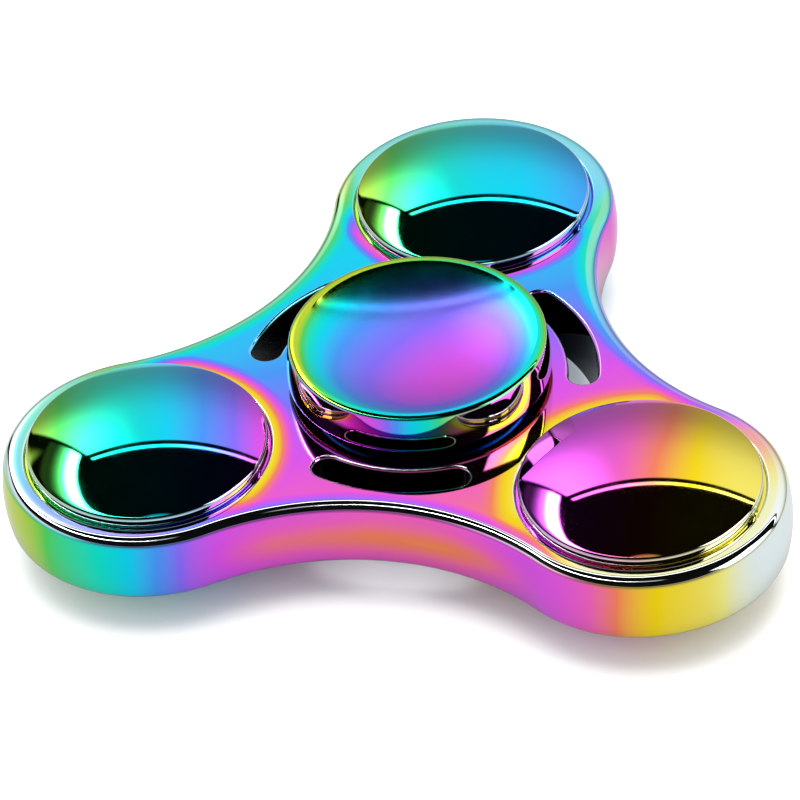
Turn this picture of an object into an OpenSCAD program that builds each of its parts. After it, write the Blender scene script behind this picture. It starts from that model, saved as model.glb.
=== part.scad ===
// Three-lobed fidget spinner on a 608 size ball bearing.
// Frame: origin on the spin axis in the plane the lower cap stands on, +Z up, one lobe along +Y.
// Lengths in millimetres.

/* [Overall] */
// spin axis to the centre of each lobe
lobe_orbit = 27; // [24:0.5:34]
// widest radius of a lobe
lobe_r = 13.95; // [13:0.05:17]
// radius of the hollow flank between two lobes
flank_r = 25.2; // [18:0.1:40]
// thickness of the body
body_t = 7; // [6:0.1:10]

/* [Body edge] */
// radius of the bulging side, seen in section
belly_r = 6; // [5.5:0.1:12]
// bevel round the mouth of each lobe hole
hole_bevel = 0.25; // [0.1:0.05:0.6]

/* [Slots] */
// radius of the middle of each curved slot
slot_mid_r = 15.4; // [14.5:0.1:17]
// wall to wall width of a slot
slot_w = 2.8; // [1.5:0.1:3.6]
// angle from the middle of a slot to the centre of its round end
slot_half_angle = 23; // [10:1:30]
// bevel round the mouth of a slot
slot_bevel = 0.3; // [0.1:0.05:0.5]

/* [Lobe weights] */
// metal left between a lobe hole and the widest part of the lobe
lobe_wall = 2.35; // [1.6:0.05:4]
// gap all round a pressed-in weight
weight_fit = 0.02; // [0.01:0.01:0.05]
// step from the pressed-in band in to the domed face
weight_step = 0.2; // [0.1:0.05:0.6]
// height of the dome's edge above the body
weight_rise = 0.95; // [0.3:0.05:2]
// radius of the domed face
dome_r = 30; // [22:1:60]
// rounding of the dome's edge
dome_edge = 0.4; // [0.2:0.05:0.6]

/* [Bearing] */
// outside diameter of the outer ring
bearing_od = 22; // [19:0.5:24]
// bore of the inner ring
bearing_id = 8; // [6:0.5:8]
// width of both rings
bearing_w = 7; // [6:0.5:8]
// diameter of a ball
ball_d = 3.969; // [3:0.001:4.2]
// diameter of the circle of ball centres
ball_pitch = 15; // [14.5:0.1:15.5]
// number of balls
ball_n = 7; // [5:1:8]
// running gap between a ball and its tracks
ball_gap = 0.04; // [0.02:0.01:0.08]
// gap between the outer ring and the body
seat_fit = 0.01; // [0.005:0.005:0.03]
// depth of each track in its ring
track_depth = 0.75; // [0.4:0.05:1]
// bevel on the corners of the rings
ring_bevel = 0.3; // [0.1:0.05:0.5]
// thickness of a shield
shield_t = 0.35; // [0.2:0.05:0.5]
// how far a shield lies in from the end face of the rings
shield_sunk = 0.25; // [0.1:0.05:0.5]
// gap between a shield and the inner ring
shield_gap = 0.15; // [0.1:0.05:0.3]

/* [Ball cage] */
// thickness of the cage strip
cage_t = 0.35; // [0.25:0.05:0.5]
// radial width of the cage strip
cage_w = 1.9; // [1.4:0.1:2.4]
// gap between a ball and its pocket
cage_gap = 0.1; // [0.05:0.01:0.2]
// diameter of a rivet's shank
rivet_d = 0.7; // [0.5:0.05:0.9]
// gap round a rivet's shank
rivet_fit = 0.01; // [0.005:0.005:0.03]

/* [Caps] */
// widest radius of a cap
cap_r = 12.6; // [11.5:0.05:14]
// radius at the upper end of the cap's side
cap_top_r = 12.2; // [11:0.05:13.5]
// gap between a cap and the body's face
cap_gap = 0.8; // [0.4:0.05:2]
// height of a cap from its underside to its rim
cap_h = 3.95; // [3:0.05:6]
// rounding of the rim's outer edge
cap_edge = 0.35; // [0.2:0.05:0.8]
// width of the level top of the rim
rim_flat = 0.4; // [0.2:0.05:1]
// depth of the finger dish below the rim
dish_depth = 1.4; // [0.4:0.05:1.6]
// diameter of the threaded post of the upper cap
post_d = 5; // [3:0.5:5]
// gap round the post and round the sleeve
post_fit = 0.02; // [0.01:0.01:0.05]

/* [Hidden] */
$fn = 96;
lobe_n = 3;
first_lobe = 90;
lobe_step = 360 / lobe_n;
flank_turn = lobe_step / 2;
cut = 1;                      // how far a cutting shape passes through a face
kink = 0.004;                 // lets two nearly tangent curves cross cleanly

ball_r = ball_d / 2;
pitch_r = ball_pitch / 2;
seat_r = bearing_od / 2 + seat_fit;
track_r = ball_r + ball_gap;
inner_land = pitch_r - ball_r + track_depth;
outer_land = pitch_r + ball_r - track_depth;
half_b = bearing_w / 2;
half_t = body_t / 2;
reach = half_t + cut / 2;     // half height of what the body's faces are cut from
flush = max(half_b, half_t);  // the higher of the body's face and the rings' end face
mid_z = flush + cap_gap + cap_h;

shield_z = half_b - shield_sunk - shield_t;
shield_in = inner_land + shield_gap;
shield_out = outer_land + (bearing_od / 2 - outer_land) * 0.45;

hole_r = lobe_r - lobe_wall;
weight_r = hole_r - weight_fit;
dome_edge_r = weight_r - weight_step;
dome_foot = half_t + weight_rise;
dome_drop = dome_r - sqrt(dome_r * dome_r - dome_edge_r * dome_edge_r);
band_h = 2 * (half_t - hole_bevel);

flank_bite = 0.035;           // how deep lobe and flank curves cross, so that they meet cleanly
// distance of a flank's centre from the spin axis
meet_d = lobe_r + flank_r - flank_bite;
flank_d = lobe_orbit * cos(flank_turn) + sqrt(pow(meet_d, 2) - pow(lobe_orbit * sin(flank_turn), 2));
// turn at a lobe's centre from its outward direction to the line to a flank's centre
lobe_sweep = 180 - acos((lobe_orbit - flank_d * cos(flank_turn)) / meet_d);

cap_low = flush + cap_gap;
cap_top = cap_low + cap_h;
dish_rim_r = cap_top_r - cap_edge - rim_flat;
dish_r = (dish_rim_r * dish_rim_r + dish_depth * dish_depth) / (2 * dish_depth);
boss_r = inner_land - 0.35;
sleeve_r = bearing_id / 2 - post_fit;
post_r = post_d / 2;
sleeve_end = half_b - 0.3;
post_end = -half_b + 0.6;
socket_end = -half_b + 0.2;

pocket_r = ball_r + cage_gap;
cage_in = pitch_r - cage_w / 2;
cage_out = pitch_r + cage_w / 2;
rivet_r = rivet_d / 2;
rivet_head = rivet_r * 1.6;
rivet_head_h = 0.25;

body_colour = [0.45, 0.52, 0.86];
weight_colour = [0.20, 0.72, 0.78];
cap_colour = [0.55, 0.40, 0.86];
ring_colour = [0.78, 0.79, 0.80];
shield_colour = [0.62, 0.63, 0.65];
cage_colour = [0.70, 0.66, 0.58];

// ---------- body ----------

// turns a half section over for s = -1
module scale_y(s) {
    if (s > 0) children();
    else mirror([0, 1]) children();
}

// what a rounding of radius r about (x, y) takes off an outer corner
module corner_cut(x, y, r) {
    difference() {
        translate([x, y]) square([r + cut, r + cut]);
        translate([x, y]) circle(r = r);
    }
}

// a whole lobe: a disc with a bulging side, taller than the body
module lobe(turn) {
    rotate([0, 0, turn]) translate([lobe_orbit, 0, 0])
        rotate_extrude()
            intersection() {
                translate([0, -reach]) square([lobe_r + cut, 2 * reach]);
                union() {
                    translate([0, -reach]) square([lobe_r - belly_r, 2 * reach]);
                    translate([lobe_r - belly_r, 0]) circle(r = belly_r);
                }
            }
}

// what a hollow flank takes away: the same bulging side, seen from the flank's centre
module flank(turn) {
    rotate([0, 0, turn]) translate([flank_d, 0, 0])
        rotate_extrude()
            difference() {
                translate([0, -reach]) square([flank_r + belly_r / 2, 2 * reach]);
                translate([flank_r + belly_r, 0]) circle(r = belly_r);
            }
}

// middle of the body: from each lobe's centre straight out to where its curve meets a flank's
module core() {
    meet = lobe_r - flank_bite / 2;
    linear_extrude(height = 2 * reach, center = true)
        polygon([for (i = [0:lobe_n - 1], s = [-1, 0, 1])
            let(turn = first_lobe + i * lobe_step, out = abs(s) * meet)
                lobe_orbit * [cos(turn), sin(turn)]
                + out * [cos(turn + s * lobe_sweep), sin(turn + s * lobe_sweep)]]);
}

// one curved slot with beveled mouths, centred on the +X direction
module slot() {
    half_w = slot_w / 2;
    end_r = half_w - 0.02;
    rotate([0, 0, -slot_half_angle])
        rotate_extrude(angle = 2 * slot_half_angle)
            translate([slot_mid_r, 0]) {
                translate([-half_w, -half_t - cut]) square([slot_w, body_t + 2 * cut]);
                for (s = [1, -1]) scale_y(s)
                    polygon([[-half_w, half_t - slot_bevel],
                             [half_w, half_t - slot_bevel],
                             [half_w + slot_bevel + cut, half_t + cut],
                             [-half_w - slot_bevel - cut, half_t + cut]]);
            }
    for (s = [1, -1])
        rotate([0, 0, s * slot_half_angle]) translate([slot_mid_r, 0, 0])
            hole_with_bevels(end_r, slot_bevel);
}

// through hole of radius r with its mouths beveled by b
module hole_with_bevels(r, b) {
    rotate_extrude()
        polygon([[0, -half_t - cut], [r + b + cut, -half_t - cut], [r, -half_t + b],
                 [r, half_t - b], [r + b + cut, half_t + cut], [0, half_t + cut]]);
}

module body() {
    color(body_colour) translate([0, 0, mid_z])
        difference() {
            intersection() {
                union() {
                    core();
                    for (i = [0:lobe_n - 1]) lobe(first_lobe + i * lobe_step);
                }
                // one slab cuts both flat faces
                cylinder(r = lobe_orbit + lobe_r + cut, h = body_t, center = true);
            }
            for (i = [0:lobe_n - 1]) flank(first_lobe + (i + 0.5) * lobe_step);
            hole_with_bevels(seat_r, hole_bevel);
            for (i = [0:lobe_n - 1]) {
                rotate([0, 0, first_lobe + i * lobe_step])
                    translate([lobe_orbit, 0, 0]) hole_with_bevels(hole_r, hole_bevel);
                rotate([0, 0, first_lobe + (i + 0.5) * lobe_step]) slot();
            }
        }
}

// ---------- lobe weights ----------

module weight(i) {
    dome_z = dome_foot + dome_drop - dome_r;
    corner_z = dome_foot - dome_edge;
    color(weight_colour) translate([0, 0, mid_z])
        rotate([0, 0, first_lobe + i * lobe_step]) translate([lobe_orbit, 0, 0])
            rotate_extrude() {
                translate([0, -band_h / 2]) square([weight_r, band_h]);
                difference() {
                    intersection() {
                        translate([0, -dome_r]) square([dome_edge_r, 2 * dome_r]);
                        translate([0, dome_z]) circle(r = dome_r, $fn = 240);
                        translate([0, -dome_z]) circle(r = dome_r, $fn = 240);
                    }
                    for (s = [1, -1]) scale_y(s)
                        corner_cut(dome_edge_r - dome_edge + kink, corner_z, dome_edge);
                }
            }
}

// ---------- bearing ----------

// a ring's half section between radii a and b, with beveled corners
module ring_section(a, b) {
    c = ring_bevel;
    polygon([[a + c, -half_b], [b - c, -half_b], [b, -half_b + c], [b, half_b - c],
             [b - c, half_b], [a + c, half_b], [a, half_b - c], [a, -half_b + c]]);
}

module outer_ring() {
    color(ring_colour) translate([0, 0, mid_z])
        rotate_extrude()
            difference() {
                ring_section(outer_land, bearing_od / 2);
                translate([pitch_r, 0]) circle(r = track_r);
                for (s = [1, -1]) scale_y(s)
                    translate([0, shield_z]) square([shield_out, half_b]);
            }
}

module inner_ring() {
    color(ring_colour) translate([0, 0, mid_z])
        rotate_extrude()
            difference() {
                ring_section(bearing_id / 2, inner_land);
                translate([pitch_r, 0]) circle(r = track_r);
            }
}

module ball(i) {
    color(ring_colour) translate([0, 0, mid_z])
        rotate([0, 0, first_lobe + i * 360 / ball_n]) translate([pitch_r, 0, 0])
            sphere(r = ball_r, $fn = 48);
}

module shield(s) {
    z = s > 0 ? shield_z : -shield_z - shield_t;
    color(shield_colour) translate([0, 0, mid_z + z])
        difference() {
            cylinder(r = shield_out, h = shield_t);
            translate([0, 0, -cut]) cylinder(r = shield_in, h = shield_t + 2 * cut);
        }
}

// upper half of the cage: flat strip between the balls, round pockets over them
module cage_half() {
    difference() {
        intersection() {
            union() {
                cylinder(r = cage_out + cut, h = cage_t);
                for (i = [0:ball_n - 1])
                    rotate([0, 0, first_lobe + i * 360 / ball_n])
                        translate([pitch_r, 0, 0]) sphere(r = pocket_r + cage_t, $fn = 48);
            }
            difference() {
                cylinder(r = cage_out, h = half_b);
                translate([0, 0, -cut]) cylinder(r = cage_in, h = bearing_w);
            }
        }
        for (i = [0:ball_n - 1]) {
            rotate([0, 0, first_lobe + i * 360 / ball_n])
                translate([pitch_r, 0, 0]) sphere(r = pocket_r, $fn = 48);
            rotate([0, 0, first_lobe + (i + 0.5) * 360 / ball_n])
                translate([pitch_r, 0, -cut])
                    cylinder(r = rivet_r + rivet_fit, h = cage_t + 2 * cut, $fn = 24);
        }
    }
}

module cage_upper() {
    color(cage_colour) translate([0, 0, mid_z]) cage_half();
}

module cage_lower() {
    color(cage_colour) translate([0, 0, mid_z]) mirror([0, 0, 1]) cage_half();
}

module cage_rivets() {
    color(cage_colour) translate([0, 0, mid_z])
        for (i = [0:ball_n - 1])
            rotate([0, 0, first_lobe + (i + 0.5) * 360 / ball_n])
                translate([pitch_r, 0, 0]) {
                    translate([0, 0, -cage_t])
                        cylinder(r = rivet_r, h = 2 * cage_t, $fn = 24);
                    for (s = [0, 1]) mirror([0, 0, s])
                        translate([0, 0, cage_t])
                            cylinder(r1 = rivet_head, r2 = rivet_r, h = rivet_head_h, $fn = 24);
                }
}

// ---------- caps ----------

// half section of a cap's disc: tapered side, rounded edges, round finger dish
module cap_section() {
    taper = atan((cap_r - cap_top_r) / cap_h);
    top_x = cap_top_r - cap_edge * (1 + sin(taper)) / cos(taper) + kink;
    low_x = cap_r - cap_edge * (1 - sin(taper)) / cos(taper) + kink;
    difference() {
        polygon([[0, cap_low], [cap_r, cap_low], [cap_top_r, cap_top], [0, cap_top]]);
        corner_cut(top_x, cap_top - cap_edge + kink, cap_edge);
        translate([0, 2 * (cap_low + cap_edge - kink)])
            mirror([0, 1]) corner_cut(low_x, cap_low + cap_edge - kink, cap_edge);
        translate([0, cap_top + dish_r - dish_depth]) circle(r = dish_r, $fn = 240);
    }
}

// the disc with the boss that bears on the inner ring
module cap_disc() {
    rotate_extrude() {
        cap_section();
        translate([0, half_b]) square([boss_r, cap_low - half_b + cap_edge]);
    }
}

// upper cap, with the post that screws into the sleeve
module cap_upper() {
    color(cap_colour) translate([0, 0, mid_z]) {
        cap_disc();
        translate([0, 0, post_end]) cylinder(r = post_r, h = half_b - post_end + cut);
    }
}

// lower cap, with the sleeve that fills the inner ring's bore
module cap_lower() {
    color(cap_colour) translate([0, 0, mid_z])
        difference() {
            union() {
                mirror([0, 0, 1]) cap_disc();
                translate([0, 0, -half_b - cut])
                    cylinder(r = sleeve_r, h = sleeve_end + half_b + cut);
            }
            translate([0, 0, socket_end])
                cylinder(r = post_r + post_fit, h = bearing_w);
        }
}

body();
weight(0);  // weight_1
weight(1);  // weight_2
weight(2);  // weight_3
outer_ring();
inner_ring();
ball(0);  // ball_1
ball(1);  // ball_2
ball(2);  // ball_3
ball(3);  // ball_4
ball(4);  // ball_5
ball(5);  // ball_6
ball(6);  // ball_7
cage_upper();
cage_lower();
cage_rivets();
shield(1);  // shield_upper
shield(-1);  // shield_lower
cap_upper();
cap_lower();
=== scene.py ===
import math

import bmesh
import bpy
from mathutils import Matrix, Quaternion, Vector


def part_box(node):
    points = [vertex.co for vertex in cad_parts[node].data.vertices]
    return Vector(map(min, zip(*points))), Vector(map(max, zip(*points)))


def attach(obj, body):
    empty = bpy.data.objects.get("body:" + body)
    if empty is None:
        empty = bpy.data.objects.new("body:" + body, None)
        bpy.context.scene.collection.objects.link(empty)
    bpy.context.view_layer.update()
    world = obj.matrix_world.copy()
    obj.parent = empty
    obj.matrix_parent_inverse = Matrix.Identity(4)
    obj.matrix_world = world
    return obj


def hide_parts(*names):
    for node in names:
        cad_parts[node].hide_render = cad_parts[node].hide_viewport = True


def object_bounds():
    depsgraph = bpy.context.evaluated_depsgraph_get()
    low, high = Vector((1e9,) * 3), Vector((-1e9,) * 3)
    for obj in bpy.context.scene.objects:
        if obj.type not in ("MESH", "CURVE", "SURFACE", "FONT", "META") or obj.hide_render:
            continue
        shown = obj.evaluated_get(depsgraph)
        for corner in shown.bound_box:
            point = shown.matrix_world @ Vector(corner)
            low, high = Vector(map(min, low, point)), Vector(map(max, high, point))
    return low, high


# A three-lobed fidget spinner in mirror-bright rainbow coating, standing on its lower cap.
# Lengths in the dictionaries are millimetres, turns are degrees. Blender works in metres.

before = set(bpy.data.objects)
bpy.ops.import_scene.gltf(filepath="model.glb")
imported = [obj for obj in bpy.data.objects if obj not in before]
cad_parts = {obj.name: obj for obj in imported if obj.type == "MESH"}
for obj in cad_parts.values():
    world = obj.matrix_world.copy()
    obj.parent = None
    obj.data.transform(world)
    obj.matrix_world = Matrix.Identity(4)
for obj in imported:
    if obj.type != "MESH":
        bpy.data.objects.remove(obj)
cadLow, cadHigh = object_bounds()
mm = 0.001
upAxis = Vector((0, 0, 1))
sectionAxis = Vector((0, 1, 0))


def middleOf(node):
    low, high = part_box(node)
    return (low + high) / 2


midZ = middleOf("body").z
lobeCentres = [middleOf(f"weight_{i}") for i in (1, 2, 3)]
lobeOrbit = lobeCentres[0].xy.length
print("frame loaded, body middle at", round(midZ / mm, 3), "mm")


# a half section is drawn in the XZ plane, then turned or swept into a piece

def startAt(bm, x, z):
    return bm.verts.new((x * mm, 0, z * mm))


def lineTo(bm, tip, x, z):
    end = startAt(bm, x, z)
    bm.edges.new((tip, end))
    return end


def arcTo(bm, tip, x, z, turn, steps):
    # turns the tip about (x, z): a positive turn goes from up towards +X
    swung = bmesh.ops.spin(bm, geom=[tip], cent=(x * mm, 0, z * mm), axis=sectionAxis,
                           angle=math.radians(turn), steps=steps)
    return next(g for g in swung["geom_last"] if isinstance(g, bmesh.types.BMVert))


def turnRound(bm, steps):
    # a whole turn about the upright axis through the origin
    bmesh.ops.spin(bm, geom=bm.verts[:] + bm.edges[:], cent=(0, 0, 0), axis=upAxis,
                   angle=math.tau, steps=steps, use_merge=True)
    bmesh.ops.remove_doubles(bm, verts=bm.verts[:], dist=1e-7)


def mirrorDown(bm):
    bmesh.ops.mirror(bm, geom=bm.verts[:] + bm.edges[:] + bm.faces[:],
                     matrix=Matrix.Identity(4), merge_dist=1e-7, axis="Z")


def finishPiece(name, bm, place, body, nodes, material, creaseAngle=30):
    bmesh.ops.remove_doubles(bm, verts=bm.verts[:], dist=1e-7)
    bmesh.ops.recalc_face_normals(bm, faces=bm.faces[:])
    bmesh.ops.translate(bm, verts=bm.verts[:], vec=place)
    mesh = bpy.data.meshes.new(name)
    bm.to_mesh(mesh)
    bm.free()
    mesh.shade_smooth()
    mesh.set_sharp_from_angle(angle=math.radians(creaseAngle))
    mesh.materials.append(material)
    piece = bpy.data.objects.new(name, mesh)
    bpy.context.scene.collection.objects.link(piece)
    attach(piece, body)
    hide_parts(*nodes)
    return piece


def feed(tree, socket, value):
    if isinstance(value, bpy.types.NodeSocket):
        tree.links.new(value, socket)
    else:
        socket.default_value = value


def calc(tree, operation, *values, clamp=False):
    node = tree.nodes.new("ShaderNodeMath")
    node.operation = operation
    node.use_clamp = clamp
    for socket, value in zip(node.inputs, values):
        feed(tree, socket, value)
    return node.outputs[0]


def calcVector(tree, operation, *values):
    node = tree.nodes.new("ShaderNodeVectorMath")
    node.operation = operation
    for socket, value in zip(node.inputs, values):
        feed(tree, socket, value)
    single = operation in ("DISTANCE", "LENGTH", "DOT_PRODUCT")
    return node.outputs["Value" if single else "Vector"]


def ease(tree, value, low, high, toLow=0.0, toHigh=1.0):
    node = tree.nodes.new("ShaderNodeMapRange")
    node.interpolation_type = "SMOOTHSTEP"
    for socket, given in zip(node.inputs, (value, low, high, toLow, toHigh)):
        feed(tree, socket, given)
    return node.outputs[0]


def blendValues(tree, factor, a, b):
    node = tree.nodes.new("ShaderNodeMix")
    for socket, given in zip(node.inputs, (factor, None, a, b)):
        if given is not None:
            feed(tree, socket, given)
    return node.outputs[0]


def blendColours(tree, factor, colour, other):
    node = tree.nodes.new("ShaderNodeMix")
    node.data_type = "RGBA"
    tree.links.new(factor, node.inputs[0])
    tree.links.new(colour, node.inputs[6])
    node.inputs[7].default_value = linearOf(other)
    return node.outputs[2]


def curveThrough(tree, value, points):
    # a smooth curve through (input, output) points, with the inputs spread over 0 to 1
    low, high = points[0][0], points[-1][0]
    spread = tree.nodes.new("ShaderNodeMapRange")
    for socket, given in zip(spread.inputs, (value, low, high, 0.0, 1.0)):
        feed(tree, socket, given)
    node = tree.nodes.new("ShaderNodeFloatCurve")
    curve = node.mapping.curves[0]
    peak = max(1, *(y for _, y in points))      # the curve itself stops at 1
    placed = [((x - low) / (high - low), y / peak) for x, y in points]
    curve.points[0].location = placed[0]
    curve.points[1].location = placed[-1]
    for point in placed[1:-1]:
        curve.points.new(*point)
    node.mapping.update()
    tree.links.new(spread.outputs[0], node.inputs["Value"])
    return calc(tree, "MULTIPLY", node.outputs[0], peak)


def linearOf(shown):
    # a colour as it is seen on a screen, made linear
    return [c / 12.92 if c <= 0.04045 else ((c + 0.055) / 1.055) ** 2.4 for c in shown] + [1]


def colourRamp(tree, value, stops):
    node = tree.nodes.new("ShaderNodeValToRGB")
    elements = node.color_ramp.elements
    while len(elements) < len(stops):
        elements.new(0.5)
    for element, (position, shown) in zip(elements, stops):
        element.position = position
        element.color = linearOf(shown)
    tree.links.new(value, node.inputs[0])
    return node.outputs[0]


def noiseAt(tree, place, perMetre, detail=2.0, roughness=0.5):
    node = tree.nodes.new("ShaderNodeTexNoise")
    tree.links.new(place, node.inputs["Vector"])
    node.inputs["Scale"].default_value = perMetre
    node.inputs["Detail"].default_value = detail
    node.inputs["Roughness"].default_value = roughness
    return node.outputs[0]


def bumpFrom(tree, height, strength, depth, normal=None):
    node = tree.nodes.new("ShaderNodeBump")
    node.inputs["Strength"].default_value = strength
    node.inputs["Distance"].default_value = depth * mm
    tree.links.new(height, node.inputs["Height"])
    if normal:
        tree.links.new(normal, node.inputs["Normal"])
    return node.outputs[0]


def newMaterial(name):
    material = bpy.data.materials.new(name)
    material.use_nodes = True
    tree = material.node_tree
    shader = tree.nodes["Principled BSDF"]
    place = tree.nodes.new("ShaderNodeTexCoord").outputs["Object"]
    return material, tree, shader, place


# the rainbow coating: its colour follows how thick the film is
coating = {
    "stops": [                     # film thickness from 0 to 1, and the colour that it shows
        (0.00, (0.72, 0.80, 0.20)),
        (0.09, (0.30, 0.80, 0.34)),
        (0.19, (0.06, 0.86, 0.76)),
        (0.28, (0.06, 0.80, 0.93)),
        (0.38, (0.28, 0.58, 0.95)),
        (0.48, (0.52, 0.42, 0.96)),
        (0.58, (0.84, 0.32, 0.90)),
        (0.66, (0.92, 0.38, 0.72)),
        (0.74, (0.93, 0.50, 0.36)),
        (0.82, (0.93, 0.82, 0.06)),
        (0.90, (0.93, 0.91, 0.50)),
        (1.00, (0.88, 0.93, 0.95)),
    ],
    # the pale metal tone that the painted highlights and the paler outer face turn the colour towards
    "paleTone": (0.90, 0.93, 0.93),
    # the dark tone of the painted shade on the slots' walls
    "recess": (0.05, 0.04, 0.06),
    "polish": (0.02, 0.045),       # lowest and highest roughness
    "cloudSize": 9,                # mm across a patch of slightly thicker film
    "cloudAmount": 0.045,
    "ripple": 0.0006,              # mm, how deep the polishing leaves its faint ripple
    "ripplesPerMetre": 900,
    "wipesPerMetre": 350,          # smears that change the polish
}


def finishCoating(tree, shader, place, film, satin=None, pale=None, paintedShade=None):
    # satin roughens the polish; pale turns the colour towards a pale tone, a painted highlight on the rounded
    # edges, the weights' lips and the cap's side, and a paler face round the outside of the lobes; the shade
    # mask darkens the slots' walls with painted shade
    cloud = noiseAt(tree, place, 1 / (coating["cloudSize"] * mm), detail=1.5)
    shift = calc(tree, "MULTIPLY_ADD", cloud, coating["cloudAmount"], -coating["cloudAmount"] / 2)
    tone = calc(tree, "ADD", film, shift, clamp=True)
    colour = colourRamp(tree, tone, coating["stops"])
    if pale:
        colour = blendColours(tree, pale, colour, coating["paleTone"])
    if paintedShade:
        colour = blendColours(tree, paintedShade, colour, coating["recess"])
    tree.links.new(colour, shader.inputs["Base Color"])
    shader.inputs["Metallic"].default_value = 1.0
    wipe = noiseAt(tree, place, coating["wipesPerMetre"], detail=3, roughness=0.6)
    low, high = coating["polish"]
    rough = ease(tree, wipe, 0.3, 0.7, low, high)
    if satin:
        rough = calc(tree, "ADD", rough, satin)
    tree.links.new(rough, shader.inputs["Roughness"])
    ripple = noiseAt(tree, place, coating["ripplesPerMetre"], detail=2)
    tree.links.new(bumpFrom(tree, ripple, 0.5, coating["ripple"]), shader.inputs["Normal"])


def uprightness(tree):
    # 1 on a level face, 0 on a wall
    normal = tree.nodes.new("ShaderNodeNewGeometry").outputs["Normal"]
    parts = tree.nodes.new("ShaderNodeSeparateXYZ")
    tree.links.new(normal, parts.inputs[0])
    return calc(tree, "ABSOLUTE", parts.outputs["Z"])


def splitPlace(tree, place, unit):
    # x, y and z counted in the given unit
    parts = tree.nodes.new("ShaderNodeSeparateXYZ")
    tree.links.new(calcVector(tree, "DIVIDE", place, (unit, unit, unit)), parts.inputs[0])
    return parts.outputs["X"], parts.outputs["Y"], parts.outputs["Z"]


# the body: three lobes joined by hollow flanks, with three curved slots
bodyShape = {
    "lobeRadius": 13.95,       # widest, at half height
    "flankRadius": 25.2,
    "faceInset": 1.2,          # from the widest outline in to the flat face
    "edgeRadius": 0.95,
    "crownRadius": 4.5,        # the face rolls off gently before its edge
    "crownTurn": 9,
    "holeRadius": 11.6,
    "holeEdge": 0.25,
    "boreRadius": 11.01,
    "boreEdge": 0.25,
    "slotMiddle": 15.4,        # radius of the slot's middle line
    "slotHalfWidth": 1.4,
    "slotHalfAngle": 23,
    "slotEdge": 0.32,
    "guard": 0.04,             # narrow level band that keeps the flat face's shading flat
    "lobeSteps": 132,
    "flankSteps": 60,
}

bodyLow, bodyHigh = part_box("body")
halfBody = (bodyHigh.z - bodyLow.z) / 2 / mm
orbit = lobeOrbit / mm
firstLobe = math.degrees(math.atan2(lobeCentres[0].y, lobeCentres[0].x))
meetDistance = bodyShape["lobeRadius"] + bodyShape["flankRadius"]
flankOrbit = orbit * math.cos(math.radians(60)) + math.sqrt(
    meetDistance ** 2 - (orbit * math.sin(math.radians(60))) ** 2)
flankTurn = math.degrees(math.asin(orbit * math.sin(math.radians(60)) / meetDistance))
lobeTurn = 60 + flankTurn      # outline turns once round: three lobes out, three flanks back


def onCircle(radius, angle, z=0.0):
    a = math.radians(angle)
    return Vector((radius * math.cos(a), radius * math.sin(a), z)) * mm


def sweepAlong(bm, geom, turns):
    # carries an upright section round a chain of arcs, each (centre, turn, steps)
    for centre, turn, steps in turns:
        swept = bmesh.ops.spin(bm, geom=geom, cent=centre, axis=upAxis,
                               angle=math.radians(turn), steps=steps)
        geom = swept["geom_last"]


def standSection(bm, known, centre, angle):
    # moves the section drawn since known from the XZ plane to an angle round a centre
    fresh = [v for v in bm.verts if v not in known]
    bmesh.ops.rotate(bm, verts=fresh, cent=(0, 0, 0), matrix=Matrix.Rotation(math.radians(angle), 3, "Z"))
    bmesh.ops.translate(bm, verts=fresh, vec=centre)
    return fresh + [e for e in bm.edges if e.verts[0] in fresh and e.verts[1] in fresh]


def outerSection(bm):
    s = bodyShape
    centreX = s["lobeRadius"] - s["faceInset"]
    edge = s["edgeRadius"]
    crown, turn = s["crownRadius"], math.radians(s["crownTurn"])
    rise = halfBody - crown + (crown - edge) * math.cos(turn)
    crownX = centreX - (crown - edge) * math.sin(turn)
    # the belly's radius comes from where its arc meets the edge's arc smoothly
    lean = 0.1
    for _ in range(30):
        lean = 2 * math.atan((s["faceInset"] - edge * math.cos(lean)) / (rise + edge * math.sin(lean)))
    bellyRadius = (rise + edge * math.sin(lean)) / math.sin(lean)
    leanTurn = math.degrees(lean)
    tip = startAt(bm, crownX - s["guard"], halfBody)
    tip = lineTo(bm, tip, crownX, halfBody)
    tip = arcTo(bm, tip, crownX, halfBody - crown, s["crownTurn"], 6)
    tip = arcTo(bm, tip, centreX, rise, 90 - s["crownTurn"] - leanTurn, 12)
    arcTo(bm, tip, s["lobeRadius"] - bellyRadius, 0, leanTurn, 8)


def wallSection(bm, radius, edge, guard, side):
    # a wall at the radius with its mouth rounded; side 1 has the metal outside, -1 inside
    tip = startAt(bm, radius + side * (edge + guard), halfBody)
    tip = lineTo(bm, tip, radius + side * edge, halfBody)
    tip = arcTo(bm, tip, radius + side * edge, halfBody - edge, -side * 90, 8)
    lineTo(bm, tip, radius, 0)


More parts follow.
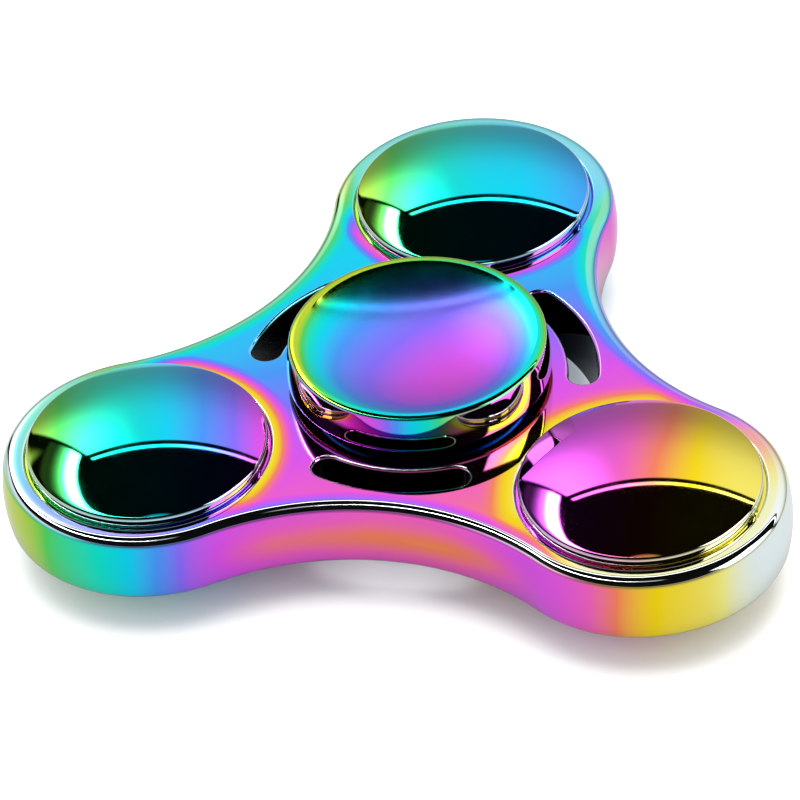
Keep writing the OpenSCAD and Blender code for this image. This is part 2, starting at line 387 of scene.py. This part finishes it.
def buildBody():
    s = bodyShape
    bm = bmesh.new()
    outerSection(bm)
    start = standSection(bm, set(), lobeAt(0), firstLobe - lobeTurn)
    turns = []
    for i in range(3):
        turns.append((lobeAt(i), 2 * lobeTurn, s["lobeSteps"]))
        turns.append((onCircle(flankOrbit, firstLobe + 60 + i * 120), -2 * flankTurn, s["flankSteps"]))
    sweepAlong(bm, start, turns)
    for i in range(3):
        known = set(bm.verts)
        wallSection(bm, s["holeRadius"], s["holeEdge"], s["guard"], 1)
        sweepAlong(bm, standSection(bm, known, lobeAt(i), 0), [(lobeAt(i), 360, 160)])
    known = set(bm.verts)
    wallSection(bm, s["boreRadius"], s["boreEdge"], s["guard"], 1)
    sweepAlong(bm, standSection(bm, known, Vector(), 0), [(Vector(), 360, 128)])
    for i in range(3):
        aim = firstLobe + 60 + i * 120
        known = set(bm.verts)
        wallSection(bm, s["slotMiddle"] + s["slotHalfWidth"], s["slotEdge"], s["guard"], 1)
        section = standSection(bm, known, Vector(), aim - s["slotHalfAngle"])
        ends = [onCircle(s["slotMiddle"], aim + side * s["slotHalfAngle"]) for side in (-1, 1)]
        sweepAlong(bm, section, [(Vector(), 2 * s["slotHalfAngle"], 40), (ends[1], 180, 24),
                                 (Vector(), -2 * s["slotHalfAngle"], 40), (ends[0], 180, 24)])
    bmesh.ops.remove_doubles(bm, verts=bm.verts[:], dist=2e-6)
    rims = [e for e in bm.edges if e.is_boundary and min(v.co.z for v in e.verts) > halfBody * mm * 0.99]
    bmesh.ops.triangle_fill(bm, edges=rims, use_beauty=True, normal=upAxis)
    mirrorDown(bm)
    return bm


def lobeAt(i):
    return onCircle(orbit, firstLobe + i * 120)


bodyFilm = {
    # lengths are counted in lobe orbits
    "diagonal": (0.55, -0.85),     # the face's colours change along this direction
    # how far along it, and the film there
    "face": [(-1.30, 0.24), (-0.75, 0.28), (-0.40, 0.33), (-0.14, 0.42), (0.0, 0.50), (0.16, 0.55),
             (0.28, 0.59), (0.45, 0.64), (0.72, 0.69), (1.14, 0.92)],
    "outerLeft": 0.14,         # film lost round the outside of the left lobe
    "bellyTurn": (0.45, 0.6),      # behind this line the belly's colours shift by this share
    # how far from left to right, and the belly's film there
    "belly": [(-1.45, 0.0), (-1.25, 0.01), (-1.10, 0.11), (-0.90, 0.21), (-0.72, 0.39), (-0.54, 0.57),
              (-0.25, 0.63), (0.25, 0.65), (0.58, 0.59), (0.72, 0.63), (0.82, 0.70), (0.92, 0.78),
              (1.0, 0.82), (1.15, 0.86), (1.32, 0.99), (1.45, 1.0)],
    "bellyMiddle": 0.085,      # extra film half way up the front flank
    "haloFilm": (0.67, 0.83, 0.84),    # beside each weight, on the side towards the hub
    "haloWidth": (0.07, 0.085, 0.12),
    "rimDrop": 0.16,           # film lost beside a flank's edge
    "rimWidth": 0.06,
    "outerPale": 0.30,         # how pale the face is round the outside of the lobes
    "edgeHighlight": (0.25, 0.92),  # painted highlight on the rounded edges, at the back and at the front
    "slotWallShade": 1.0,        # how dark the slots' walls are painted, a painted shade
}


def bodyMaterial():
    material, tree, shader, place = newMaterial("rainbowBody")
    f, s = bodyFilm, bodyShape
    x, y, z = splitPlace(tree, place, lobeOrbit)
    alongX, alongY = f["diagonal"]
    diagonal = calc(tree, "MULTIPLY_ADD", x, alongX, calc(tree, "MULTIPLY", y, alongY))
    face = curveThrough(tree, diagonal, f["face"])
    flat = tree.nodes.new("ShaderNodeCombineXYZ")
    tree.links.new(x, flat.inputs[0])
    tree.links.new(y, flat.inputs[1])
    flat = flat.outputs[0]
    nearestFlank = None
    mouth = (s["holeRadius"] + s["holeEdge"]) / orbit
    outward = calcVector(tree, "LENGTH", flat)
    inward = ease(tree, outward, 1.04, 0.80)
    outerLeft = calc(tree, "MULTIPLY", ease(tree, outward, 0.95, 1.25), ease(tree, x, -0.3, -0.6))
    face = calc(tree, "SUBTRACT", face, calc(tree, "MULTIPLY", outerLeft, f["outerLeft"]))
    for i in range(3):
        lobe = calcVector(tree, "DISTANCE", flat, lobeAt(i) / lobeOrbit)
        halo = calc(tree, "MULTIPLY", ease(tree, lobe, mouth + f["haloWidth"][i], mouth), inward)
        face = blendValues(tree, halo, face, f["haloFilm"][i])
        flank = calcVector(tree, "DISTANCE", flat, onCircle(flankOrbit, firstLobe + 60 + i * 120) / lobeOrbit)
        nearestFlank = calc(tree, "MINIMUM", nearestFlank, flank) if nearestFlank else flank
    rimAt = (s["flankRadius"] + s["faceInset"]) / orbit
    rim = ease(tree, nearestFlank, rimAt + f["rimWidth"], rimAt)
    face = calc(tree, "SUBTRACT", face, calc(tree, "MULTIPLY", rim, f["rimDrop"]))
    turnAt, turnBy = f["bellyTurn"]
    behind = calc(tree, "MAXIMUM", calc(tree, "ADD", y, turnAt), 0.0)
    along = calc(tree, "SUBTRACT", x, calc(tree, "MULTIPLY", behind, turnBy))
    belly = curveThrough(tree, along, f["belly"])
    height = calc(tree, "DIVIDE", calc(tree, "ABSOLUTE", calc(tree, "SUBTRACT", z, midZ / lobeOrbit)),
                  halfBody / orbit)
    middle = calc(tree, "MULTIPLY", ease(tree, height, 0.75, 0.0, 0.0, f["bellyMiddle"]),
                  ease(tree, calc(tree, "ABSOLUTE", x), 0.62, 0.35))
    belly = calc(tree, "ADD", belly, middle)
    upright = uprightness(tree)
    level = ease(tree, upright, 0.25, 0.97)
    # the rounded edges are painted pale, a painted highlight, stronger towards the front
    edge = calc(tree, "MULTIPLY", ease(tree, upright, 0.9975, 0.994), ease(tree, upright, 0.45, 0.75))
    pale = calc(tree, "MAXIMUM", calc(tree, "MULTIPLY", edge, ease(tree, y, 0.0, -0.6, *f["edgeHighlight"])),
                calc(tree, "MULTIPLY", calc(tree, "MULTIPLY", ease(tree, outward, 0.95, 1.3), level),
                     f["outerPale"]))
    # the slots' walls are painted dark, a painted shade
    slotReach = (s["slotMiddle"] + s["slotHalfWidth"] + s["slotEdge"]) / orbit
    paintedShade = calc(tree, "MULTIPLY", ease(tree, outward, slotReach + 0.03, slotReach + 0.01),
                ease(tree, upright, 0.6, 0.2, 0.0, f["slotWallShade"]))
    finishCoating(tree, shader, place, blendValues(tree, level, belly, face), pale=pale, paintedShade=paintedShade)
    return material


finishPiece("spinnerBody", buildBody(), Vector((0, 0, midZ)), "rotor", ["body"], bodyMaterial())
print("body built")


# a domed weight pressed into each lobe
weightShape = {
    "bandRadius": 11.58,
    "bandHalf": 3.25,
    "domeEdge": 11.38,
    "domeFoot": 4.45,          # height of the dome's edge above the body's middle, before rounding
    "domeRadius": 30.0,
    "lip": 0.40,
}

weightFilm = [
    # film from the weight's left edge to its right edge, for each weight in turn
    [(-1.0, 0.02), (-0.5, 0.14), (0.0, 0.24), (0.5, 0.29), (1.0, 0.37)],
    [(-1.0, 0.03), (-0.5, 0.15), (0.0, 0.24), (0.5, 0.38), (1.0, 0.60)],
    [(-1.0, 0.57), (-0.3, 0.62), (0.15, 0.74), (0.5, 0.83), (1.0, 0.86)],
]
weightLean = [0.10, 0.26, 0.0]     # how far each weight's colour bands lean
lipHighlight = 0.6                   # painted highlight: how far the lip's colour is paled


def buildWeight():
    s = weightShape
    bm = bmesh.new()
    reach = math.asin((s["domeEdge"] - s["lip"]) / (s["domeRadius"] - s["lip"]))
    centreZ = s["domeFoot"] - math.sqrt(s["domeRadius"] ** 2 - s["domeEdge"] ** 2)
    lipZ = centreZ + (s["domeRadius"] - s["lip"]) * math.cos(reach)
    tip = startAt(bm, 0, centreZ + s["domeRadius"])
    tip = arcTo(bm, tip, 0, centreZ, math.degrees(reach), 36)
    tip = arcTo(bm, tip, s["domeEdge"] - s["lip"], lipZ, 90 - math.degrees(reach), 12)
    tip = lineTo(bm, tip, s["domeEdge"], s["bandHalf"] + 0.02)
    tip = lineTo(bm, tip, s["bandRadius"] - 0.05, s["bandHalf"])
    tip = lineTo(bm, tip, s["bandRadius"], s["bandHalf"] - 0.05)
    lineTo(bm, tip, s["bandRadius"], 0)
    turnRound(bm, 192)
    mirrorDown(bm)
    return bm


def weightMaterial(i):
    material, tree, shader, place = newMaterial(f"rainbowWeight{i + 1}")
    local = calcVector(tree, "SUBTRACT", place, lobeCentres[i])
    x, y, _ = splitPlace(tree, local, weightShape["domeEdge"] * mm)
    across = calc(tree, "MULTIPLY_ADD", y, weightLean[i], x)
    film = curveThrough(tree, across, weightFilm[i])
    # the lip and the band are painted pale, a painted highlight
    paintedHighlight = calc(tree, "MULTIPLY", ease(tree, uprightness(tree), 0.92, 0.8), lipHighlight)
    finishCoating(tree, shader, place, film, pale=paintedHighlight)
    return material


for i, centre in enumerate(lobeCentres):
    finishPiece(f"lobeWeight{i + 1}", buildWeight(), Vector((centre.x, centre.y, midZ)), "rotor",
                [f"weight_{i + 1}"], weightMaterial(i))
print("weights built")


# the two finger caps, each with a dish and a barrel side
capShape = {
    "underside": 4.3,          # heights above the body's middle
    "rimTop": 8.25,
    "radius": 12.6,
    "topRadius": 12.2,
    "dishDepth": 1.4,
    "crestRadius": 1.3,        # rounding of the rim between the dish and the edge
    "crestLean": 22,           # slope where the crest passes into the outer edge
    "edge": 0.3,
    "lowEdge": 0.35,
    "bossRadius": 5.9155,
    "bossFoot": 3.5,
    "postRadius": 2.5,
    "postEnd": -2.9,
    "sleeveRadius": 3.98,
    "sleeveEnd": 3.2,
    "socketRadius": 2.52,
    "socketEnd": -3.3,
}


def capDisc(bm):
    # dish, rim, barrel side and underside, as far as the boss
    s = capShape
    barrel = math.degrees(2 * math.atan((s["radius"] - s["topRadius"]) / (s["rimTop"] - s["underside"])))
    edgeX = s["topRadius"] - s["edge"]
    lean = math.radians(s["crestLean"])
    crestX = edgeX - (s["crestRadius"] - s["edge"]) * math.sin(lean)
    crestZ = s["rimTop"] - s["crestRadius"]
    # the dish's arc and the crest's arc meet where their slopes agree
    dishReach = crestX
    dishTurn = math.asin(min(0.9, 2 * s["dishDepth"] * dishReach / (dishReach ** 2 + s["dishDepth"] ** 2)))
    for _ in range(30):
        dishReach = crestX - s["crestRadius"] * math.sin(dishTurn)
        drop = s["dishDepth"] - s["crestRadius"] * (1 - math.cos(dishTurn))
        dishTurn = 2 * math.atan(drop / dishReach)
    dishRadius = dishReach / math.sin(dishTurn)
    turn = math.degrees(dishTurn)
    tip = startAt(bm, 0, s["rimTop"] - s["dishDepth"])
    tip = arcTo(bm, tip, 0, s["rimTop"] - s["dishDepth"] + dishRadius, -turn, 30)
    tip = arcTo(bm, tip, crestX, crestZ, turn + s["crestLean"], 12)
    edgeZ = crestZ + (s["crestRadius"] - s["edge"]) * math.cos(lean)
    tip = arcTo(bm, tip, edgeX, edgeZ, 90 - s["crestLean"] - barrel, 8)
    barrelRadius = (edgeZ - s["underside"] - s["lowEdge"]) / math.sin(math.radians(barrel))
    sideX = tip.co.x / mm - barrelRadius * math.cos(math.radians(barrel))
    tip = arcTo(bm, tip, sideX, tip.co.z / mm - barrelRadius * math.sin(math.radians(barrel)), barrel, 10)
    tip = arcTo(bm, tip, tip.co.x / mm - s["lowEdge"], tip.co.z / mm, 90, 8)
    tip = lineTo(bm, tip, s["bossRadius"] + 0.3, tip.co.z / mm)
    tip = lineTo(bm, tip, s["bossRadius"], tip.co.z / mm - 0.3)
    return lineTo(bm, tip, s["bossRadius"], s["bossFoot"])


def buildUpperCap():
    s = capShape
    bm = bmesh.new()
    tip = capDisc(bm)
    tip = lineTo(bm, tip, s["postRadius"], s["bossFoot"])
    tip = lineTo(bm, tip, s["postRadius"], s["postEnd"] + 0.3)
    tip = lineTo(bm, tip, s["postRadius"] - 0.3, s["postEnd"])
    lineTo(bm, tip, 0, s["postEnd"])
    turnRound(bm, 192)
    return bm


def buildLowerCap():
    # drawn the same way up as the upper cap, then turned over
    s = capShape
    bm = bmesh.new()
    tip = capDisc(bm)
    tip = lineTo(bm, tip, s["sleeveRadius"], s["bossFoot"])
    tip = lineTo(bm, tip, s["sleeveRadius"], 0.2 - s["sleeveEnd"])
    tip = lineTo(bm, tip, s["sleeveRadius"] - 0.2, -s["sleeveEnd"])
    tip = lineTo(bm, tip, s["socketRadius"] + 0.2, -s["sleeveEnd"])
    tip = lineTo(bm, tip, s["socketRadius"], 0.2 - s["sleeveEnd"])
    tip = lineTo(bm, tip, s["socketRadius"], -s["socketEnd"])
    lineTo(bm, tip, 0, -s["socketEnd"])
    turnRound(bm, 192)
    bmesh.ops.scale(bm, verts=bm.verts[:], vec=(1, 1, -1))
    return bm


capFilm = {
    "thickest": (0.36, -0.55),     # where the film is thickest, in cap radii
    "stretch": 0.65,               # how much longer the colour patches are along Y
    "fall": [(0.0, 0.60), (0.30, 0.57), (0.55, 0.51), (0.80, 0.44), (1.05, 0.35), (1.35, 0.24), (1.6, 0.20)],
    "rimFall": 0.44,               # film lost at the very rim
    "side": [(-1.0, 0.80), (-0.45, 0.66), (-0.15, 0.56), (0.08, 0.33), (0.28, 0.18), (0.5, 0.06), (1.0, 0.0)],
    "sideHighlight": 0.75,              # painted highlight: how pale the side is, apart from its middle
    "satin": 0.10,                 # extra roughness in the finger dish
}


def capMaterial():
    material, tree, shader, place = newMaterial("rainbowCap")
    f, s = capFilm, capShape
    x, y, _ = splitPlace(tree, place, s["topRadius"] * mm)
    flat = tree.nodes.new("ShaderNodeCombineXYZ")
    tree.links.new(x, flat.inputs[0])
    tree.links.new(y, flat.inputs[1])
    flat = flat.outputs[0]
    away = calcVector(tree, "SUBTRACT", flat, (*f["thickest"], 0))
    away = calcVector(tree, "LENGTH", calcVector(tree, "MULTIPLY", away, (1, f["stretch"], 1)))
    film = curveThrough(tree, away, f["fall"])
    outward = calcVector(tree, "LENGTH", flat)
    rim = calc(tree, "MULTIPLY", calc(tree, "POWER", outward, 8.0), f["rimFall"])
    film = calc(tree, "SUBTRACT", film, rim, clamp=True)
    level = ease(tree, uprightness(tree), 0.3, 0.8)
    side = curveThrough(tree, x, f["side"])
    film = blendValues(tree, level, side, film)
    # the side is painted pale away from its middle, a painted highlight
    aside = ease(tree, calc(tree, "ABSOLUTE", calc(tree, "SUBTRACT", x, 0.02)), 0.32, 0.55)
    onSide = calc(tree, "SUBTRACT", 1.0, level)
    paintedHighlight = calc(tree, "MULTIPLY", calc(tree, "MULTIPLY", aside, onSide), f["sideHighlight"])
    dish = calc(tree, "MULTIPLY", ease(tree, outward, 0.94, 0.86), f["satin"])
    finishCoating(tree, shader, place, film, satin=calc(tree, "MULTIPLY", dish, level), pale=paintedHighlight)
    return material


rainbowCap = capMaterial()
middle = Vector((0, 0, midZ))
finishPiece("upperCap", buildUpperCap(), middle, "hub", ["cap_upper"], rainbowCap)
finishPiece("lowerCap", buildLowerCap(), middle, "hub", ["cap_lower"], rainbowCap)
print("caps built")


# the ball bearing between the rotor and the hub
bearingShape = {
    "halfWidth": 3.5,
    "bore": 4.0,
    "outside": 11.0,
    "pitch": 7.5,
    "ball": 1.9845,
    "track": 2.0245,
    "innerLand": 6.2655,
    "outerLand": 8.7345,
    "bevel": 0.3,
    "shieldIn": 6.4155,
    "shieldOut": 9.7540,
    "shieldLow": 2.9,
    "shieldTop": 3.25,
}


def closeRing(bm, tip, first, steps):
    bm.edges.new((tip, first))
    turnRound(bm, steps)


def trackArc(bm, tip, land, side):
    # from the land round the ball track to the land again, with the ball's centre at the pitch radius
    s = bearingShape
    half = math.degrees(math.acos(abs(land - s["pitch"]) / s["track"]))
    return arcTo(bm, tip, s["pitch"], 0, side * 2 * half, 24)


def buildOuterRing():
    s = bearingShape
    h, c = s["halfWidth"], s["bevel"]
    trackTop = math.sqrt(s["track"] ** 2 - (s["outerLand"] - s["pitch"]) ** 2)
    bm = bmesh.new()
    first = startAt(bm, s["outside"] - c, h)
    tip = lineTo(bm, first, s["outside"], h - c)
    tip = lineTo(bm, tip, s["outside"], c - h)
    tip = lineTo(bm, tip, s["outside"] - c, -h)
    tip = lineTo(bm, tip, s["shieldOut"], -h)
    tip = lineTo(bm, tip, s["shieldOut"], -s["shieldLow"])
    tip = lineTo(bm, tip, s["outerLand"], -s["shieldLow"])
    tip = lineTo(bm, tip, s["outerLand"], -trackTop)
    tip = trackArc(bm, tip, s["outerLand"], -1)
    tip = lineTo(bm, tip, s["outerLand"], s["shieldLow"])
    tip = lineTo(bm, tip, s["shieldOut"], s["shieldLow"])
    tip = lineTo(bm, tip, s["shieldOut"], h)
    closeRing(bm, tip, first, 128)
    return bm


def buildInnerRing():
    s = bearingShape
    h, c = s["halfWidth"], s["bevel"]
    trackTop = math.sqrt(s["track"] ** 2 - (s["innerLand"] - s["pitch"]) ** 2)
    bm = bmesh.new()
    first = startAt(bm, s["innerLand"] - c, h)
    tip = lineTo(bm, first, s["innerLand"], h - c)
    tip = lineTo(bm, tip, s["innerLand"], trackTop)
    tip = trackArc(bm, tip, s["innerLand"], -1)
    tip = lineTo(bm, tip, s["innerLand"], c - h)
    tip = lineTo(bm, tip, s["innerLand"] - c, -h)
    tip = lineTo(bm, tip, s["bore"] + c, -h)
    tip = lineTo(bm, tip, s["bore"], c - h)
    tip = lineTo(bm, tip, s["bore"], h - c)
    tip = lineTo(bm, tip, s["bore"] + c, h)
    closeRing(bm, tip, first, 128)
    return bm


def buildShield(side):
    # a pressed washer with a rolled inner lip and a shallow ring pressed into its face
    s = bearingShape
    top, low, lip = s["shieldTop"], s["shieldLow"], 0.12
    bm = bmesh.new()
    first = startAt(bm, s["shieldIn"] + lip, top)
    tip = lineTo(bm, first, 7.1, top)
    tip = lineTo(bm, tip, 7.3, top - 0.1)
    tip = lineTo(bm, tip, 8.8, top - 0.1)
    tip = lineTo(bm, tip, 9.0, top)
    tip = lineTo(bm, tip, s["shieldOut"], top)
    tip = lineTo(bm, tip, s["shieldOut"], low)
    tip = lineTo(bm, tip, s["shieldIn"] + lip, low)
    tip = arcTo(bm, tip, s["shieldIn"] + lip, low + lip, 90, 4)
    tip = lineTo(bm, tip, s["shieldIn"], top - lip)
    tip = arcTo(bm, tip, s["shieldIn"] + lip, top - lip, 90, 4)
    bmesh.ops.remove_doubles(bm, verts=bm.verts[:], dist=1e-7)
    turnRound(bm, 128)
    bmesh.ops.scale(bm, verts=bm.verts[:], vec=(1, 1, side))
    return bm


def buildBall():
    bm = bmesh.new()
    bmesh.ops.create_uvsphere(bm, u_segments=48, v_segments=24, radius=bearingShape["ball"] * mm)
    return bm


def steelMaterial(name, shown, roughness, ringsPerMm):
    # turned or pressed steel: faint rings about the spin axis, and a soft mottle
    material, tree, shader, place = newMaterial(name)
    mottle = noiseAt(tree, place, 420, detail=4, roughness=0.6)
    darker = [c * 0.82 for c in shown]
    colour = colourRamp(tree, mottle, [(0.3, darker), (0.7, shown)])
    tree.links.new(colour, shader.inputs["Base Color"])
    shader.inputs["Metallic"].default_value = 1.0
    x, y, z = splitPlace(tree, place, mm)
    radius = calc(tree, "SQRT", calc(tree, "ADD", calc(tree, "MULTIPLY", x, x), calc(tree, "MULTIPLY", y, y)))
    rings = calc(tree, "SINE", calc(tree, "MULTIPLY", calc(tree, "ADD", radius, z), ringsPerMm * math.tau))
    tree.links.new(ease(tree, mottle, 0.3, 0.7, roughness * 0.7, roughness * 1.3), shader.inputs["Roughness"])
    tree.links.new(bumpFrom(tree, rings, 0.3, 0.004), shader.inputs["Normal"])
    return material


ringSteel = steelMaterial("bearingSteel", (0.80, 0.81, 0.82), 0.16, 9)
shieldSteel = steelMaterial("shieldSteel", (0.68, 0.69, 0.71), 0.24, 6)
cageSteel = steelMaterial("cageSteel", (0.74, 0.70, 0.62), 0.30, 4)
finishPiece("bearingOuterRing", buildOuterRing(), middle, "rotor", ["outer_ring"], ringSteel)
finishPiece("bearingInnerRing", buildInnerRing(), middle, "hub", ["inner_ring"], ringSteel)
finishPiece("upperShield", buildShield(1), middle, "rotor", ["shield_upper"], shieldSteel)
finishPiece("lowerShield", buildShield(-1), middle, "rotor", ["shield_lower"], shieldSteel)
for i in range(1, 8):
    finishPiece(f"bearingBall{i}", buildBall(), middleOf(f"ball_{i}"), f"ball_body_{i}", [f"ball_{i}"],
                ringSteel)
for node in ("cage_upper", "cage_lower", "cage_rivets"):
    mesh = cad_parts[node].data
    mesh.materials.clear()
    mesh.materials.append(cageSteel)
print("bearing built")


# the studio: pale floor, bright backdrop, soft side lights, a low ring of light all round, dark above
studio = {
    "floorSize": 6.0,
    "floorTone": (0.93, 0.45), # as the camera sees it, and as it shows in the metal
    "skyForFloor": 1.30,       # even light on the floor
    "lampHeight": 0.6,         # metres, for the soft lamp overhead
    "lampSize": 0.5,
    "lampPower": 3.6,
    "backdropFacing": -14.4,   # degrees from +Y towards +X
    "backdropTop": 50.0,       # degrees above the horizon, straight ahead
    "backdropLeft": -41,       # degrees from +Y towards +X
    "backdropRight": 58,
    "backdropLevel": [(-5, 0.42), (8, 0.45), (22, 0.72), (34, 1.0), (50, 1.12)],
    "hotCorner": 1.9,          # extra light in the backdrop's upper left corner
    "stripLow": 52.1,
    "stripTop": 53.5,
    "stripLevel": 3.6,
    "leftLevel": [(0, 24.0), (4, 20.0), (7, 3.0), (10, 0.5), (15, 0.06), (40, 0.02)],
    "leftEdge": (-42, 45, 0.7),    # its upper edge starts at this bearing and height, and climbs outwards
    "leftFrom": (-41.8, -43.0),
    "leftUpTo": (-122, -112),
    "rightLevel": 3.2,
    "rightFrom": (62, 64),
    "rightUpTo": (112, 108),
    "rightHeights": (14, 22, 50, 52),
    "ringTop": 31,             # a lower screen round the sides and the back
    "ringLevel": [(-5, 0.55), (10, 0.70), (31, 1.05)],
    "ringLeft": -48,
    "ringRight": 64,
    "ringDim": 0.32,           # the upper part of the ring is dimmer behind the camera
    "zenithEdge": 83,          # a weak patch of light straight overhead
    "zenithLevel": 0.6,
    "dark": 0.004,
}


def buildFloor():
    bm = bmesh.new()
    bmesh.ops.create_grid(bm, x_segments=4, y_segments=4, size=studio["floorSize"] / 2)
    bmesh.ops.translate(bm, verts=bm.verts[:], vec=(0, 0, cadLow.z))
    mesh = bpy.data.meshes.new("studioFloor")
    bm.to_mesh(mesh)
    bm.free()
    floor = bpy.data.objects.new("studioFloor", mesh)
    bpy.context.scene.collection.objects.link(floor)
    material, tree, shader, place = newMaterial("palePaper")
    grain = ease(tree, noiseAt(tree, place, 60, detail=2), 0.3, 0.7, 0.99, 1.0)
    glossy = tree.nodes.new("ShaderNodeLightPath").outputs["Is Glossy Ray"]
    tone = calc(tree, "MULTIPLY", blendValues(tree, glossy, *studio["floorTone"]), grain)
    tree.links.new(tone, shader.inputs["Base Color"])
    shader.inputs["Roughness"].default_value = 1.0
    shader.inputs["Specular IOR Level"].default_value = 0.0
    mesh.materials.append(material)


def buildLamp():
    # a soft box overhead for the floor's shadows, left out of the metal's reflections
    data = bpy.data.lights.new("softBox", "AREA")
    data.size = studio["lampSize"]
    data.energy = studio["lampPower"]
    lamp = bpy.data.objects.new("softBox", data)
    bpy.context.scene.collection.objects.link(lamp)
    lamp.location = (0, 0, studio["lampHeight"])
    lamp.rotation_mode = "QUATERNION"
    lamp.rotation_quaternion = lamp.location.to_track_quat("Z", "Y")
    lamp.visible_glossy = False


def skyLight():
    world = bpy.data.worlds.new("studioSky")
    bpy.context.scene.world = world
    world.use_nodes = True
    tree = world.node_tree
    background = tree.nodes["Background"]
    s = studio
    direction = tree.nodes.new("ShaderNodeTexCoord").outputs["Generated"]
    parts = tree.nodes.new("ShaderNodeSeparateXYZ")
    tree.links.new(direction, parts.inputs[0])
    x, y, z = parts.outputs
    degrees = 180 / math.pi
    height = calc(tree, "MULTIPLY", calc(tree, "ARCSINE", z), degrees)
    bearing = calc(tree, "MULTIPLY", calc(tree, "ARCTAN2", x, y), degrees)
    # the backdrop is a flat wall, so its level top edge sinks towards both sides
    facing = math.radians(s["backdropFacing"])
    forward = calc(tree, "MULTIPLY_ADD", x, math.sin(facing), calc(tree, "MULTIPLY", y, math.cos(facing)))
    wall = calc(tree, "MULTIPLY", calc(tree, "ARCTAN2", z, forward), degrees)
    between = calc(tree, "MULTIPLY", ease(tree, bearing, s["backdropLeft"] - 0.6, s["backdropLeft"] + 0.6),
                   ease(tree, bearing, s["backdropRight"] + 4, s["backdropRight"] - 4))
    backdrop = ease(tree, wall, s["backdropTop"] + 0.35, s["backdropTop"] - 0.35)
    strip = calc(tree, "MULTIPLY", ease(tree, wall, s["stripLow"] - 0.25, s["stripLow"] + 0.25),
                 ease(tree, wall, s["stripTop"] + 0.25, s["stripTop"] - 0.25))
    strip = calc(tree, "MULTIPLY", strip, s["stripLevel"])
    hot = calc(tree, "MULTIPLY", ease(tree, bearing, -18.0, -38.0), ease(tree, wall, 15.0, 42.0))
    level = calc(tree, "MULTIPLY_ADD", hot, s["hotCorner"], curveThrough(tree, wall, s["backdropLevel"]))
    backdrop = calc(tree, "MULTIPLY", backdrop, level)
    ahead = calc(tree, "MULTIPLY", calc(tree, "MAXIMUM", backdrop, strip), between)
    # left light: bright along its slanting upper edge, fading downwards
    edgeBearing, edgeHeight, climb = s["leftEdge"]
    edge = calc(tree, "MULTIPLY_ADD", calc(tree, "ABSOLUTE", bearing), climb, edgeHeight + edgeBearing * climb)
    below = calc(tree, "SUBTRACT", edge, height)
    leftLight = calc(tree, "MULTIPLY", ease(tree, below, -0.6, 1.5),
                     curveThrough(tree, below, s["leftLevel"]))
    leftSpan = calc(tree, "MULTIPLY", ease(tree, bearing, *s["leftFrom"]), ease(tree, bearing, *s["leftUpTo"]))
    leftLight = calc(tree, "MULTIPLY", leftLight, leftSpan)
    low, lowSoft, topSoft, top = s["rightHeights"]
    rightLight = calc(tree, "MULTIPLY", ease(tree, height, top, topSoft), ease(tree, height, low, lowSoft))
    rightSpan = calc(tree, "MULTIPLY", ease(tree, bearing, *s["rightFrom"]),
                     ease(tree, bearing, *s["rightUpTo"]))
    rightLight = calc(tree, "MULTIPLY", calc(tree, "MULTIPLY", rightLight, rightSpan), s["rightLevel"])
    front = calc(tree, "MULTIPLY", ease(tree, bearing, s["ringLeft"] - 3, s["ringLeft"] + 3),
                 ease(tree, bearing, s["ringRight"] + 3, s["ringRight"] - 3))
    ring = calc(tree, "MULTIPLY", ease(tree, height, s["ringTop"] + 2, s["ringTop"] - 3),
                curveThrough(tree, height, s["ringLevel"]))
    ring = calc(tree, "MULTIPLY", ring, calc(tree, "SUBTRACT", 1.0, front))
    behind = calc(tree, "MULTIPLY", ease(tree, forward, -0.3, -0.7), ease(tree, height, 11.0, 16.0))
    ring = calc(tree, "MULTIPLY", ring, blendValues(tree, behind, 1.0, s["ringDim"]))
    zenith = ease(tree, height, s["zenithEdge"], s["zenithEdge"] + 3, 0.0, s["zenithLevel"])
    seen = calc(tree, "MAXIMUM", calc(tree, "MAXIMUM", leftLight, rightLight), ahead)
    seen = calc(tree, "MAXIMUM", seen, calc(tree, "MAXIMUM", ring, zenith))
    seen = calc(tree, "MAXIMUM", seen, s["dark"])
    glossy = tree.nodes.new("ShaderNodeLightPath").outputs["Is Glossy Ray"]
    strength = blendValues(tree, glossy, s["skyForFloor"], seen)
    background.inputs["Color"].default_value = (1, 1, 1, 1)
    tree.links.new(strength, background.inputs["Strength"])


camera = {
    "place": (114.5, -455.9, 398.5),
    "lookAt": (-2.3, 0.5, 8.0),
    "roll": -4.96,
    "lens": 290.2,
}


def buildCamera():
    data = bpy.data.cameras.new("studioCamera")
    data.lens = camera["lens"]
    data.sensor_width = 36
    data.clip_start, data.clip_end = 0.01, 20
    eye = bpy.data.objects.new("studioCamera", data)
    bpy.context.scene.collection.objects.link(eye)
    place, target = Vector(camera["place"]) * mm, Vector(camera["lookAt"]) * mm
    eye.location = place
    eye.rotation_mode = "QUATERNION"
    eye.rotation_quaternion = (target - place).to_track_quat("-Z", "Y") @ Quaternion(
        (0, 0, 1), math.radians(camera["roll"]))
    bpy.context.scene.camera = eye


buildFloor()
buildLamp()
skyLight()
buildCamera()
bpy.context.scene.view_settings.view_transform = "Standard"
print("studio ready")
